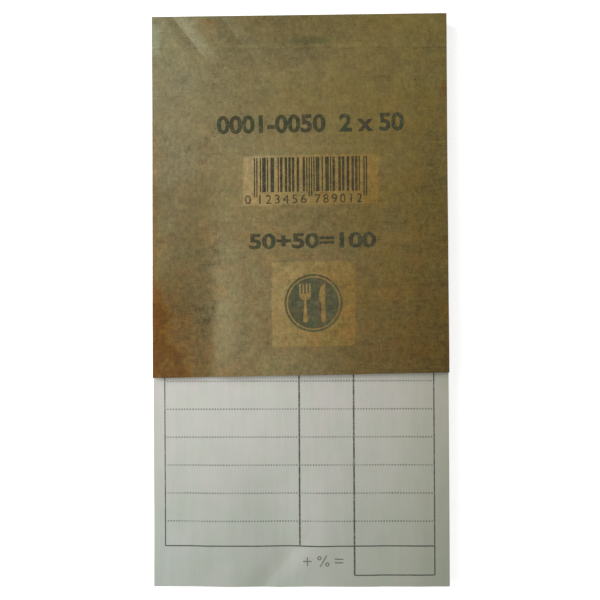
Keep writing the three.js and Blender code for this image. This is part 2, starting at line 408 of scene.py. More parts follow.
def fold_shading_and_wear(kraft, colour, level):
    """Painted shade and highlights of the diagonal folds at the upper left and of the long dent down the
    flap, a rubbed corner, soft patches and the scored crease.

    A fold or dent gets painted shade on the side away from the lamp and a bluish painted highlight on the
    side towards it; a fold also gets a thin painted highlight along its line. off is the distance from its
    line, which the mottling makes unsteady.
    """
    x, y = kraft.x, kraft.y
    front = 1 - y.step(*FRONT_END)
    # Each fold: a bluish painted highlight on its lit side, a thin painted highlight on its line, painted
    # shade on its dark side
    for place, strength, _ in FOLDS:
        off = x * FOLD_TURN[0] + y * FOLD_TURN[1] - place + kraft.mottle * 1.6
        near = y.step(65, 74) * front * strength
        lit = off.over(-0.1, 0.3, 1.6, 4.4) * near
        colour = kraft.tints(colour, ((1.10, 1.20, 1.42), lit))
        level = level + lit * 0.10 + off.inside(0.0, 0.6, 0.4) * near * 0.08
        level = level - off.over(-4.2, -1.0, -0.4, 0.1) * y.step(68, 75) * front * strength * 0.15
    # The dent: a bluish painted highlight and a lighter level on its right side, towards the lamp, and
    # painted shade on its left
    off = x - DENT_X - (y - DENT_Y) * DENT_LEAN + kraft.mottle * 2.0
    near = y.step(DENT_TOP, -8) * (1 - y.step(-7, -19) * 0.5)
    colour = kraft.tints(colour, ((0.97, 1.055, 1.17), off.over(-3.0, 0.0, 3.0, 13.0) * near))
    level = level + (off.over(-2.4, -0.4, 0.6, 6.5) * 0.20 - off.over(-8.0, -4.6, -3.4, -1.4) * 0.11) * near

    # The upper left corner is rubbed grey
    corner = x.step(-38.4, -40.6) * y.inside(69, 77.6, 3)
    colour = kraft.mix(colour, srgb(152, 152, 118), corner * 0.55)
    colour = kraft.tints(colour, *((tone, kraft.patch(*reach)) for tone, *reach in TINT_PATCHES))
    for change, *reach in LEVEL_PATCHES:
        level = level + kraft.patch(*reach) * change

    # The scored line where the flap turns has painted shade in its crease, in places, with a paler band
    # above it
    score = y + x * 0.006 - CREASE / MM - kraft.mottle * 0.5
    level = level - score.over(-0.45, -0.05, 0.0, 0.35) * kraft.fibre.step(0.42, 0.62) * 0.16
    return colour, level + score.over(0.2, 0.7, 0.8, 1.6) * 0.05


def window_marks(kraft, colour):
    """Two printed windows, paler and warmer than the kraft, greyer at the left and yellower at the right."""
    x = kraft.x
    turned_y = kraft.y - x * math.tan(PRINT_TILT)
    worn = 0.92 - kraft.mottle * 0.6
    for window, tone in ((CODE_WINDOW, (1.38, 1.29, 1.20)), (EMBLEM_WINDOW, (1.38, 1.33, 1.16))):
        share = x.inside(*window[:2], 0.7) * turned_y.inside(*window[2:], 0.7)
        colour = kraft.tints(
            colour,
            (tone, (share * worn).held()),
            ((1.10, 1.12, 1.32), share * x.step(0, -16)),
            ((1.02, 0.97, 0.88), share * x.step(-2, 12)),
        )
    return colour


def rust_marks_and_shade(kraft, colour, level):
    """Rust that crept in from the left edge and down to the corner, with a few spots apart; and painted
    shade at the lower right corner, away from the lamp.

    depth is how far a point lies behind its ragged front, which goes further in lower down. The soaked part
    has a darker core and a faint halo, and dull bands go ahead of it up the edge.
    """
    x, y = kraft.x, kraft.y
    creep = kraft.noise(x * 0.22, y * 0.16, detail=4, roughness=0.65, layer=31.0)
    blotch = kraft.noise(x * 0.55, y * 0.62, detail=3, roughness=0.65, layer=36.0) - 0.5
    depth = (y.step(7, -8) + y.step(-8, -22)) * 6.5 - (x + 40.8) + (creep - 0.5) * 13
    soaked = depth.step(-3.5, 3.0) * y.step(8, 0)
    halo = depth.step(-10, -2) * y.step(9, -3) * (1 - soaked)
    core = depth.step(0.5, 5.5) * y.step(5, -2) * creep.step(0.34, 0.52)
    dull = (1 - soaked * 0.9) * (1.0 - kraft.mottle * 0.3)
    colour = kraft.tints(
        colour,
        ((0.80, 0.775, 0.67), (dull * x.step(-22, -28) * y.step(39, 27)).held()),
        ((0.84, 0.76, 0.64), (dull * x.step(-27.5, -33) * y.step(15, 0)).held()),
        ((0.97, 0.87, 0.76), halo),
        ((0.82, 0.55, 0.18), (soaked * (0.95 - y.step(-10, -18) * 0.14)).held()),
        ((0.84, 0.80, 0.84), x.step(-36, -40) * y.inside(0, 7, 4) * creep.step(0.30, 0.55)),
        ((0.66, 0.52, 0.40), (core * 0.85).held()),
        ((1.16, 0.96, 0.74), x.step(-38.2, -41.2) * y.inside(-20, 46, 20) * 0.8),
    )
    for spot_x, spot_y, size in ((41.3, 59.3, 6), (-25.6, 78.9, 2.6)):
        spot = ((x - spot_x) ** 2 + (y - spot_y) ** 2 + kraft.mottle * 8).step(size, 0)
        colour = kraft.tints(colour, ((1.15, 0.72, 0.42), spot * 0.7))
    # The last term is painted shade at the lower right corner, away from the lamp
    return colour, level + blotch * (soaked + halo * 0.6) * 0.75 - x.step(30, 44) * y.step(2, -22) * 0.08


def streak_and_smudge_marks(kraft, colour, level):
    """Faint dark streaks along the fibres, and the dull greenish smudge over the staple, each a soft
    ellipse.
    """
    x, y = kraft.x, kraft.y
    for middle_x, middle_y, reach_x, reach_y in ((2.0, 23.4, 12.0, 1.1), (36.0, 32.0, 5.0, 1.6)):
        dark_streak = (((x - middle_x) / reach_x) ** 2 + ((y - middle_y) / reach_y) ** 2).step(1.0, 0.2)
        level = level - dark_streak * kraft.fibre.step(0.36, 0.6) * 0.07
    smudge = (((x - 4 + kraft.mottle * 3) / 5.2) ** 2 + (y - 73.1) ** 2).step(1.7, 0.1)
    return kraft.tints(colour, ((0.62, 0.76, 0.74), (smudge * (0.75 + kraft.pulp * 0.6)).held())), level


def kraft_finish(name, printed=True):
    """Kraft paper: the bare sheet, painted shade and highlights of its folds and dent, its wear, the marks
    of the printed side with painted shade at one corner, and its specks.
    """
    kraft = Finish(name)
    x, y = kraft.x, kraft.y
    kraft.mottle = kraft.noise(x * 0.13, y * 0.12, detail=3, roughness=0.6, layer=5.0) - 0.5
    kraft.grain, kraft.pulp = kraft_grain(kraft, x, y)
    kraft.fibre = kraft.noise(x * 0.15, y * 2.0, detail=3, roughness=0.62, layer=15.0, warp=0.25)
    colour, level = fold_shading_and_wear(kraft, *kraft_paper(kraft))
    if printed:
        colour, level = rust_marks_and_shade(kraft, window_marks(kraft, colour), level)
        colour, level = streak_and_smudge_marks(kraft, colour, level)
    colour = kraft.shade(colour, level)
    colour = kraft.mix(colour, srgb(46, 36, 20), kraft.specks(x * 0.30, y * 0.30, 0.075, 3.0) * 0.75)
    colour = kraft.mix(colour, srgb(186, 174, 132), kraft.specks(x * 0.34, y * 0.34, 0.07, 7.0) * 0.45)
    kraft.set(Base_Color=colour, Roughness=(0.82 + kraft.grain * 0.5).held())
    kraft_tooth(kraft, kraft.grain * 1.2 + kraft.pulp * 0.5 + kraft.fibre * 0.3)
    return kraft.material


def flap_share(y):
    """How far down the flap a line lies, from 0 at the crease to 1 at the lower edge."""
    return np.clip((CREASE - y) / (CREASE - flap_low.y), 0, 1)


def cover_relief(x, y):
    """Height that handling gave the cover: diagonal valleys, a long dent, and soft waves down the flap.

    A valley is a pair of soft ridges with a narrow gap between, so that it stays above the flat sheet. The
    dent is a bell-shaped trough with a lower ridge at its right, and the waves are two sines.
    """
    across, along = x / MM, y / MM
    relief = 0
    for place, _, height in FOLDS:
        off = FOLD_TURN[0] * across + FOLD_TURN[1] * along - place
        ridges = (1 - np.exp(-np.abs(off) / 0.8)) * np.exp(-((off / 4.2) ** 2))
        relief = relief + height * ridges * ease(along, 63, 71)
    relief = relief * ease(SEAM / MM - along, 0, 3)
    dent = DENT_X + (along - DENT_Y) * DENT_LEAN
    trough = 0.80 * hump(across, dent - 2.4, 3.3) - 0.30 * hump(across, dent + 4.5, 4.5)
    waves = 0.12 * (1 + np.sin(across * 0.17 + along * 0.04 + 0.8))
    waves = waves + 0.07 * (1 + np.sin(along * 0.19 - across * 0.05))
    return (relief - trough * ease(DENT_TOP - along, 0, 42) + waves * ease(-along, -62, 5)) * MM


def staple_emboss(x, y):
    """The bulge over the staple's crown: a plateau that falls away smoothly on all sides."""
    middle = (crown_low + crown_high) / 2
    over_x = np.abs(x - middle.x) - (crown_high.x - crown_low.x) / 2 - EMBOSS_REACH
    over_y = np.abs(y - middle.y) - (crown_high.y - crown_low.y) / 2 - EMBOSS_REACH
    outside = np.hypot(np.maximum(over_x, 0), np.maximum(over_y, 0))
    return EMBOSS * (1 - ease(outside, 0, EMBOSS_SLOPE))


def cover_front_height(x, y):
    """Height of the cover's outer face: the flat strip's and the lifted flap's, with their relief."""
    lift = FLAP_LIFT * flap_share(y) ** FLAP_LIFT_POWER
    return FORM_TOP + KRAFT + lift + cover_relief(x, y) + staple_emboss(x, y)


def creased_rows(top, rows_above, bottom, rows_below):
    """Places down a sheet from top to bottom, which crowd together where it bends at the crease."""
    above, below = CREASE + FOLD_ZONE, CREASE - FOLD_ZONE
    return np.concatenate([np.linspace(top, above, rows_above, endpoint=False),
                           np.linspace(above, below, FOLD_ROWS, endpoint=False),
                           np.linspace(below, bottom, rows_below)])


# The front, from the seam behind the strip down to the flap's edge, which is cut a little out of square
y, x = np.meshgrid(creased_rows(SEAM, STRIP_ROWS, FLAP_EDGE, FLAP_ROWS),
                   np.linspace(-HALF_WIDTH, HALF_WIDTH, FRONT_COLUMNS), indexing="ij")
y = y + FLAP_SKEW * x / (2 * HALF_WIDTH) * flap_share(y)
z = cover_front_height(x, y)
kraft = kraft_finish("kraft")
kraft_inside = kraft_finish("kraft_inside", printed=False)
cover_front = lying_sheet("kraft_cover_front", x, y, z - KRAFT, z, [kraft, kraft_inside])
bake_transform(cover_front)
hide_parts("cover_flap")


def wrap_path(steps):
    """Middle line of the sheet from the seam on the front, over the bound edge and along the back.

    Straight runs are joined by quarter turns. Gives each point's y and z, its normal out of the pad, and
    its distance along the sheet.
    """
    radius = BEND_RADIUS + KRAFT / 2
    front, back = FORM_TOP + KRAFT / 2, KRAFT / 2
    turn = np.linspace(0, math.pi / 2, steps)
    spine = TOP_EDGE - KRAFT / 2
    runs = (
        (np.linspace(SEAM, BINDING_EDGE, 3), np.full(3, front)),
        (BINDING_EDGE + radius * np.sin(turn), front - radius * (1 - np.cos(turn))),
        (np.full(8, spine), np.linspace(front - radius, back + radius, 8)),
        (BINDING_EDGE + radius * np.cos(turn), back + radius * (1 - np.sin(turn))),
        (np.linspace(BINDING_EDGE, BOTTOM_EDGE, BACK_ROWS), np.full(BACK_ROWS, back)),
    )
    path = np.concatenate([[(SEAM, front)], *(np.stack(run, axis=1)[1:] for run in runs)])
    along = np.gradient(path, axis=0)
    along /= np.linalg.norm(along, axis=1, keepdims=True)
    normal = np.stack([-along[:, 1], along[:, 0]], axis=1)
    distance = np.concatenate([[0], np.cumsum(np.linalg.norm(np.diff(path, axis=0), axis=1))])
    return path, normal, distance


def swept(line):
    """A line of y and z carried across the pad, as a grid of points."""
    y, z = (np.repeat(part[:, None], BACK_COLUMNS, axis=1) for part in line.T)
    x = np.broadcast_to(np.linspace(-HALF_WIDTH, HALF_WIDTH, BACK_COLUMNS), y.shape)
    return np.stack([x, y, z], axis=2)


path, normal, distance = wrap_path(7)
flat = swept(np.stack([SEAM + distance, distance], axis=1))[:, :, :2]
outer, inner = swept(path + normal * KRAFT / 2), swept(path - normal * KRAFT / 2)
cover_back = build_sheet("kraft_cover_back", outer, inner, flat, [kraft_inside])
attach(cover_back, "pad")
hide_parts("cover_wrap")

# Printing on the cover
# Dark grey-green ink on the kraft: two lines of plain figures, a strip of stripes over counting figures, and
# a plate with a fork and a knife. Each is a film of ink that follows the flap.

INK_FILM = 0.03 * MM
INK_ROOT = 0.10 * MM
BOLD = 0.034
KRAFT_TONE = srgb(118, 105, 68)


def ink_finish(name, ink_colour, paper, cover, fine=1.0):
    """Faded ink: the paper's grain shows through it, it is thin in patches, and its hue changes in bands.

    cover is how well it hides the paper, and fine is the share of the finest grain.
    """
    ink = Finish(name, uv_map=None)
    x, y = ink.object_place("XY")
    grain, pulp = kraft_grain(ink, x, y)
    thin = ink.noise(x * 0.5, y * 0.9, detail=3, layer=4.0) - 0.5
    level = 1.0 + grain * 2.0 + pulp * 0.9 * fine
    hidden = (cover - thin * 0.7 - grain * 0.8 - pulp * fine).held()
    hue = ink.noise(x * 0.45, y * 0.05, detail=1, layer=9.0)
    film = ink.tints(ink_colour, ((0.82, 1.08, 1.15), hue.step(0.52, 0.38)),
                     ((1.12, 0.90, 1.18), hue.step(0.50, 0.66)))
    colour = ink.mix(ink.shade(paper[:3], level), ink.shade(film, 0.5 + level * 0.5), hidden)
    ink.set(Base_Color=colour, Roughness=0.8)
    kraft_tooth(ink, grain * 1.2 + pulp * 0.5)
    return ink.material


cover_ink = ink_finish("cover_ink", srgb(55, 55, 36), KRAFT_TONE, 0.92)
code_ink = ink_finish("code_ink", srgb(54, 50, 32), KRAFT_TONE, 0.92)
emblem_ink = ink_finish("emblem_ink", srgb(68, 70, 49), KRAFT_TONE, 0.80)


def figures_outline(text, weight, spacing=1.0):
    """Outlines of a line of figures as a filled curve, made bolder by weight, and set apart by spacing."""
    curve = bpy.data.curves.new("figures", "FONT")
    curve.body = text
    curve.offset = weight
    curve.space_character = spacing
    curve.extrude = 0.5
    curve.resolution_u = 6
    return curve


def drawn_outline(loops):
    """Closed loops of points as one filled curve; a loop inside another is a hole."""
    curve = bpy.data.curves.new("drawing", "CURVE")
    curve.dimensions = "2D"
    curve.fill_mode = "BOTH"
    curve.extrude = 0.5
    for loop in loops:
        spline = curve.splines.new("POLY")
        spline.points.add(len(loop) - 1)
        points = np.zeros((len(loop), 4), dtype=np.float32)
        points[:, :2] = loop
        points[:, 3] = 1
        spline.points.foreach_set("co", points.ravel())
        spline.use_cyclic_u = True
    return curve


def merge_points(mesh):
    """Joins the points that a curve leaves doubled between its faces and its sides."""
    work = bmesh.new()
    work.from_mesh(mesh)
    bmesh.ops.remove_doubles(work, verts=work.verts, dist=0.002 * MM)
    bmesh.ops.dissolve_degenerate(work, edges=work.edges, dist=0.0005 * MM)
    bmesh.ops.recalc_face_normals(work, faces=work.faces)
    work.to_mesh(mesh)
    work.free()
    mesh.update()


def print_curve(name, curve, window, finish, height, tilt=PRINT_TILT, film=INK_FILM, root=INK_ROOT):
    """A film of ink made from a filled curve, scaled to a window, turned by tilt, and laid on a surface.

    The window is left, right, low and high in millimetres, and height gives the surface over x and y. The
    ink stands above it by film and goes into it by root.
    """
    source = put(name + "_curve", curve)
    bpy.context.view_layer.update()
    mesh = bpy.data.meshes.new_from_object(source.evaluated_get(bpy.context.evaluated_depsgraph_get()))
    bpy.data.objects.remove(source)
    points = np.zeros(len(mesh.vertices) * 3)
    mesh.vertices.foreach_get("co", points)
    points = points.reshape(-1, 3)
    low, high = points[:, :2].min(axis=0), points[:, :2].max(axis=0)
    left, right, bottom, top = window
    scale = np.array([right - left, top - bottom]) / (high - low)
    middle = np.array([(left + right) / 2, (bottom + top) / 2])
    flat = (points[:, :2] - (low + high) / 2) * scale
    turn = np.array([[math.cos(tilt), -math.sin(tilt)], [math.sin(tilt), math.cos(tilt)]])
    place = (flat @ turn.T + middle) * MM
    level = np.where(points[:, 2] > 0, film, -root)
    points = np.column_stack([place, height(place[:, 0], place[:, 1]) + level])
    mesh.vertices.foreach_set("co", points.ravel())
    merge_points(mesh)
    mesh.materials.clear()
    mesh.materials.append(finish)
    return put(name, mesh)


def on_cover(piece):
    """The printing turns with the flap."""
    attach(piece, "cover")


for name, text, window in (("cover_print_title", "0001-0050  2 x 50", (-23.2, 29.4, 47.2, 52.4)),
                           ("cover_print_second", "50+50=100", (-14.3, 21.4, 14.6, 19.0))):
    on_cover(print_curve(name, figures_outline(text, BOLD), window, cover_ink, cover_front_height))

# The stripes, in modules: two thin ones at each end and the middle, and two to a figure by a counting rule
CODE_LEFT, CODE_RIGHT, CODE_LOW, CODE_TOP, CODE_GUARD = -12.8, 18.98, 30.6, 40.3, 29.2
CODE_FIGURES = 12
FIGURE_MODULES, GUARD_MODULES, MIDDLE_MODULES = 7, 3, 5
CODE_MODULES = CODE_FIGURES * FIGURE_MODULES + 2 * GUARD_MODULES + MIDDLE_MODULES
module = (CODE_RIGHT - CODE_LEFT) / CODE_MODULES
figure = np.arange(CODE_FIGURES)
left_half = figure < CODE_FIGURES // 2
figure_start = GUARD_MODULES + figure * FIGURE_MODULES + np.where(left_half, 0, MIDDLE_MODULES)
first_gap = 1 + (figure * 5 + 1) % 3
first_stripe = 1 + (figure * 7) // 3 % 2
second_gap = np.where(first_gap == 1, 2, 1)
second_stripe = FIGURE_MODULES - first_gap - first_stripe - second_gap
middle = GUARD_MODULES + CODE_FIGURES // 2 * FIGURE_MODULES
guards = [0, 2, middle + 1, middle + 3, CODE_MODULES - 3, CODE_MODULES - 1]
first_start = figure_start + np.where(left_half, first_gap, 0)
stripe_start = np.concatenate([guards, first_start, first_start + first_stripe + second_gap])
stripe_width = np.concatenate([np.ones(len(guards)), first_stripe, second_stripe])
long_stripe = np.arange(len(stripe_start)) < len(guards)
left = (CODE_LEFT + stripe_start * module)[:, None, None] * MM
width = (stripe_width * module)[:, None, None] * MM
low = np.where(long_stripe, CODE_GUARD, CODE_LOW)[:, None, None] * MM
down = np.linspace(0, 1, 9)[None, :, None]
x = left + width * np.array([0.0, 1.0])
y = CODE_TOP * MM * (1 - down) + low * down + x * math.tan(PRINT_TILT)
x = np.broadcast_to(x, y.shape)
z = cover_front_height(x, y)
on_cover(lying_sheet("cover_print_stripes", x, y, z - INK_ROOT, z + INK_FILM, [code_ink]))

FIGURES_LOW, FIGURES_HIGH = 27.3, 29.8
for text, left, right in (("0", -15.3, -13.7), ("123456", -11.3, 1.9), ("789012", 4.4, 17.6)):
    rise = (left + right) / 2 * math.tan(PRINT_TILT)
    window = (left, right, FIGURES_LOW + rise, FIGURES_HIGH + rise)
    figures = figures_outline(text, 0.0, spacing=1.35)
    on_cover(print_curve("cover_print_figures_" + text, figures, window, code_ink, cover_front_height))


def arc(centre, radius, start, end, steps):
    """Points round a centre, from one angle to another."""
    angle = np.linspace(math.radians(start), math.radians(end), steps)
    return np.stack([centre[0] + radius * np.cos(angle), centre[1] + radius * np.sin(angle)], axis=1)


def handle(x):
    """The round end of a handle, at the foot of a fork or a knife."""
    return arc((x, -5.2), 0.5, 180, 360, 11)


def fork(x):
    """A fork from above: four round tines with round gaps, on a shoulder that curves into the handle."""
    tines = []
    for tine in (1.05, 0.35, -0.35, -1.05):
        tines.append(arc((x + tine, 5.6), 0.17, 0, 180, 7))
        if tine > -1:
            tines.append(arc((x + tine - 0.35, 2.9), 0.18, 360, 180, 7))
    shoulder = arc((x, 2.1), 1.22, 180, 262, 12)
    return np.concatenate([*tines, shoulder, handle(x), shoulder[::-1] * (-1, 1) + (2 * x, 0)])


def knife(x):
    """A table knife from above: a blade with one bowed edge, and a handle."""
    blade = [(0.45, 5.9), (0.1, 5.6), (-0.5, 4.6), (-0.85, 3.1), (-0.85, 1.0), (-0.45, 0.2)]
    return np.concatenate([np.array(blade) + (x, 0), handle(x), [(x + 0.45, 0.2)]])


# The plate: a ring, and in it a disc from which a fork and a knife are left out
EMBLEM_X, EMBLEM_Y, EMBLEM_RADIUS = 3.76, -0.72, 8.1
CUTLERY_SCALE = (1.5, 1.08)
emblem_window = (EMBLEM_X - EMBLEM_RADIUS, EMBLEM_X + EMBLEM_RADIUS,
                 EMBLEM_Y - EMBLEM_RADIUS, EMBLEM_Y + EMBLEM_RADIUS)
rings = [arc((0, 0), radius, 0, 360, 65)[:-1] for radius in (9.2, 8.6, 8.1)]
plate = drawn_outline([*rings, fork(-1.75) * CUTLERY_SCALE, knife(2.1) * CUTLERY_SCALE])
on_cover(print_curve("cover_print_emblem", plate, emblem_window, emblem_ink, cover_front_height))

# Forms
# Fifty sets of carbonless forms, a white original over a yellow copy, 0.07 mm a sheet, glued at the bound
# edge and perforated below the strip. The three sets on top are loose leaves; the rest lie in the block.

SHEET = 0.07 * MM
SHEET_GAP = 0.004 * MM
SETS_LOOSE = 3
SETS = 50
TIES = 20
TIE = 1.1 * MM
TIE_END = 0.12 * MM
SLIT = 0.3 * MM
LEAF_ROWS, STUB_ROWS, FORM_ROWS = 64, 5, 66

# The form's ruling, in millimetres from the pad's middle: upright rules (place, lower end, half width),
# level rules (place, left end), the heading's stretches, the dotted rows, and signs by the total's box
RULE_LEFT, RULE_SECOND, RULE_THIRD, RULE_RIGHT = -38.37, -0.38, 14.95, 37.44
TABLE_TOP, TABLE_HEAD, TABLE_LOW, TOTAL_LOW = 40.2, 32.35, -69.12, -77.29
UPRIGHT_RULES = ((RULE_LEFT, TABLE_LOW, 0.16), (RULE_SECOND, TABLE_LOW, 0.24),
                 (RULE_THIRD, TOTAL_LOW, 0.24), (RULE_RIGHT, TOTAL_LOW, 0.18))
LEVEL_RULES = ((TABLE_TOP, RULE_LEFT), (TABLE_HEAD, RULE_LEFT), (TABLE_LOW, RULE_LEFT),
               (TOTAL_LOW, RULE_THIRD))
RULE_HALF = 0.17
HEADING = (RULE_LEFT, 12), (46.5, 64)
LAST_ROW, ROW_PITCH = -62.15, 7.875
DOT_PITCH = 0.79
SIGN_BARS = ((0.5, 2.9, -73.48, -73.12), (1.52, 1.88, -74.5, -72.1), (9.4, 11.8, -72.98, -72.62),
             (9.4, 11.8, -73.98, -73.62))
PERCENT_RINGS = ((5.1, -72.4), (7.3, -74.2))
LINE_INK = srgb(36, 40, 36)
# The crease across the lower edge, and the valleys that lean as they go down
SWELL_X, SWELL_Y, SWELL_TURN = -3.56, -72.1, (0.75, -0.66)
LEAN, LEAN_Y = 0.05, -60


def ruling(form):
    """Share of ink of the ruled table: bands about the rules, and discs on the lattice of the dotted rows.

    Noise breaks the upright rules and makes the dots stronger or weaker, and the fibres wear all of it.
    """
    x, y = form.x, form.y
    uprights = 0.0
    for rule, low, half in UPRIGHT_RULES:
        line = abs(x - rule).step(half * 1.2, half * 0.8) * y.inside(low, TABLE_TOP, 0.2)
        uprights = line.highest(uprights)
    broken = form.noise(x * 0.3, y * 1.3, roughness=0.8, layer=61.0)
    rules = uprights * (1.0 - broken.step(0.50, 0.64) * 0.34)
    for rule, left in LEVEL_RULES:
        line = abs(y - rule).step(RULE_HALF * 1.3, RULE_HALF * 0.7) * x.inside(left, RULE_RIGHT, 0.2)
        rules = rules.highest(line)
    row = abs(((y - LAST_ROW) / ROW_PITCH + 0.5).fraction() - 0.5) * ROW_PITCH
    along = ((x / DOT_PITCH).fraction() - 0.5) * DOT_PITCH
    dots = ((row * row + along * along) ** 0.5).step(0.31, 0.19)
    rows = y.inside(LAST_ROW - 2, TABLE_HEAD - 5, 0.2) * x.inside(RULE_LEFT, RULE_RIGHT, 0.2)
    heading = x.inside(*HEADING[0], 0.2) * y.inside(*HEADING[1], 0.2)
    spread = form.noise(x * 0.09, y * 0.5, roughness=0.7, layer=64.0)
    dots = dots * rows.highest(heading) * (0.80 + spread.step(0.36, 0.62) * 0.40)
    wear = 0.98 - (form.fibre - 0.4).held() * 0.5
    return ((rules * 0.95).highest(dots * 0.56) * wear).held()


def signs(form):
    """Share of ink of the signs beside the total's box: bars for plus and equals, two rings and a slash."""
    x, y = form.x, form.y
    ink = 0.0
    for left, right, low, high in SIGN_BARS:
        ink = (x.inside(left, right, 0.12) * y.inside(low, high, 0.12)).highest(ink)
    for ring_x, ring_y in PERCENT_RINGS:
        off = ((x - ring_x) ** 2 + (y - ring_y) ** 2) ** 0.5
        ink = off.inside(0.28, 0.62, 0.12).highest(ink)
    slash = abs((x - 6.2) * 0.86 - (y + 73.3) * 0.51).step(0.22, 0.12)
    return (slash * y.inside(-74.9, -71.7, 0.12) * x.inside(4.6, 7.8, 0.1)).highest(ink) * 0.66


def form_finish(name, paper, shade, printed):
    """Thin form paper with faint upright clouding, the slit of its perforation, and on one side the ruling.

    It has painted shade to the right and to the lower edge, where the lamp's light falls off, is lighter at
    the lower left, and has painted shade and highlight on the two sides of its valleys and its crease.
    """
    form = Finish(name)
    x, y = form.x, form.y
    cloud = form.noise(x * 0.04, y * 0.03, detail=3, layer=1.0) - 0.5
    upright = form.noise(x * 0.42, y * 0.035, detail=5, roughness=0.7, layer=6.0)
    form.fibre = form.noise(x * 2.2, y * 0.28, roughness=0.6, layer=8.0)
    green = form.noise(x * 0.11, y * 0.09, layer=52.0)
    warm = form.noise(x * 0.40, y * 0.30, detail=4, roughness=0.7, layer=57.0)
    uneven = form.noise(x * 0.16, y * 0.13, detail=3, roughness=0.6, layer=41.0) - 0.5
    colour = form.mix(paper, shade, (cloud * 0.2 + (upright - 0.5) * 0.7 + 0.4).held())
    colour = form.mix(colour, srgb(120, 120, 106), form.fibre.step(0.56, 0.80) * 0.08)
    valley = x + 6.0 + (y - LEAN_Y) * LEAN
    swell = (x - SWELL_X) * SWELL_TURN[0] + (y - SWELL_Y) * SWELL_TURN[1]
    low, lowest = y.step(-40, -58), y.step(-58, -74)
    colour = form.tints(
        colour,
        # Painted shade to the right and lower down, away from the lamp
        ((0.90, 0.88, 0.83), x.step(-26, 40)),
        ((0.84, 0.85, 0.79), x.step(22, 42)),
        ((0.78, 0.84, 0.80), y.step(-22, -84)),
        ((0.965, 1.0, 0.965), green.step(0.42, 0.62)),
        ((1.012, 0.994, 0.980), warm.step(0.40, 0.60)),
        # Painted shade and painted highlight on the two sides of the valleys
        ((0.94, 0.94, 0.93), valley.over(-17, -8, -7, 0) * low),
        ((1.08, 1.07, 1.085), valley.over(-2, 4, 8, 22) * low),
        ((1.05, 1.06, 1.09), form.patch((-28, -37), (-54, -70))),
        # Painted shade and painted highlight on the two sides of the crease across the lower edge
        ((0.95, 0.95, 0.935), swell.over(-5.5, -2.5, -1.0, 0.5) * lowest),
        ((1.06, 1.055, 1.07), swell.over(-0.3, 1.0, 2.0, 5.0) * lowest),
    )
    if printed:
        colour = form.mix(colour, LINE_INK, ruling(form))
        colour = form.mix(colour, LINE_INK, signs(form))
    between_ties = (x * (TIES / (2 * HALF_WIDTH / MM))).fraction().inside(0.13, 0.87, 0.02)
    slit = abs(y - CREASE / MM).step(0.16, 0.10) * between_ties
    colour = form.mix(colour, srgb(70, 70, 64), slit * 0.8)
    colour = form.shade(colour, 1.0 + uneven * 0.12)
    form.set(Base_Color=colour, Roughness=(0.74 + (form.fibre - 0.5) * 0.1).held(), Specular_IOR_Level=0.3)
    form.raise_by(form.fibre * 0.3 + upright * 0.8, 0.3, 0.05 * MM)
    return form.material


ORIGINAL_PAPER, ORIGINAL_SHADE = srgb(206, 205, 202), srgb(183, 183, 177)
COPY_PAPER, COPY_SHADE = srgb(204, 189, 118), srgb(188, 172, 100)
original_paper = [form_finish("original_paper_ruled", ORIGINAL_PAPER, ORIGINAL_SHADE, True),
                  form_finish("original_paper_plain", ORIGINAL_PAPER, ORIGINAL_SHADE, False)]
copy_paper = [form_finish("copy_paper_ruled", COPY_PAPER, COPY_SHADE, True),
              form_finish("copy_paper_plain", COPY_PAPER, COPY_SHADE, False)]


def form_wave(x, y):
    """How the free part of a form rises: sines for its ripples, bells for its swells, valley and wrinkle.

    Nothing goes below the flat sheet, so a sheet with a smaller share of it lies under one with a larger.
    """
    across, along = x / MM, y / MM
    off = SWELL_TURN[0] * (across - SWELL_X) + SWELL_TURN[1] * (along - SWELL_Y)
    swell = (0.95 * hump(off, 4.4, 3.8) + 0.50 * hump(off, -6.5, 4.4)) * ease(-along, 58, 80)
    ripple = 0.08 * (1 + np.sin(across * 0.42 + 0.6 * np.sin(along * 0.05)))
    ripple = (ripple + 0.04 * (1 + np.sin(across * 0.93 + 2))) * ease(-along, -10, 75)
    broad = 0.16 * (1 + np.sin(across * 0.11 - along * 0.06)) * ease(-along, 12, 60)
    wrinkle = (0.55 * (along + 72.8) - 0.83 * (across + 27.5)) * 0.9 + 0.4 * np.sin(across * 0.8)
    wrinkle = 0.26 * hump(wrinkle, 0, 1.0) * hump(np.hypot(across + 27.5, along + 73.5), 0, 3.8)
    corner = 0.45 * ease(-across, 26, 42) * ease(-along, 62, 81)
    leaning = across + (along - LEAN_Y) * LEAN
    valley = (0.50 * hump(leaning, -20, 9) + 0.62 * hump(leaning, 9, 10)) * ease(-along, 36, 60)
    return (swell + ripple + broad + wrinkle + corner + valley) * MM


def tied_columns():
    """Places across the form, four at each paper tie, and how far each reaches over the slit (0 or 1)."""
    pitch = 2 * HALF_WIDTH / TIES
    middles = -HALF_WIDTH + pitch * (np.arange(TIES) + 0.5)
    step = 0.02 * MM
    sides = np.array([-TIE / 2 - step, -TIE / 2, TIE / 2, TIE / 2 + step])
    x = np.concatenate([[-HALF_WIDTH], (middles[:, None] + sides).ravel(), [HALF_WIDTH]])
    reach = np.concatenate([[0], np.tile([0, 1, 1, 0], TIES), [0]])
    return x, reach


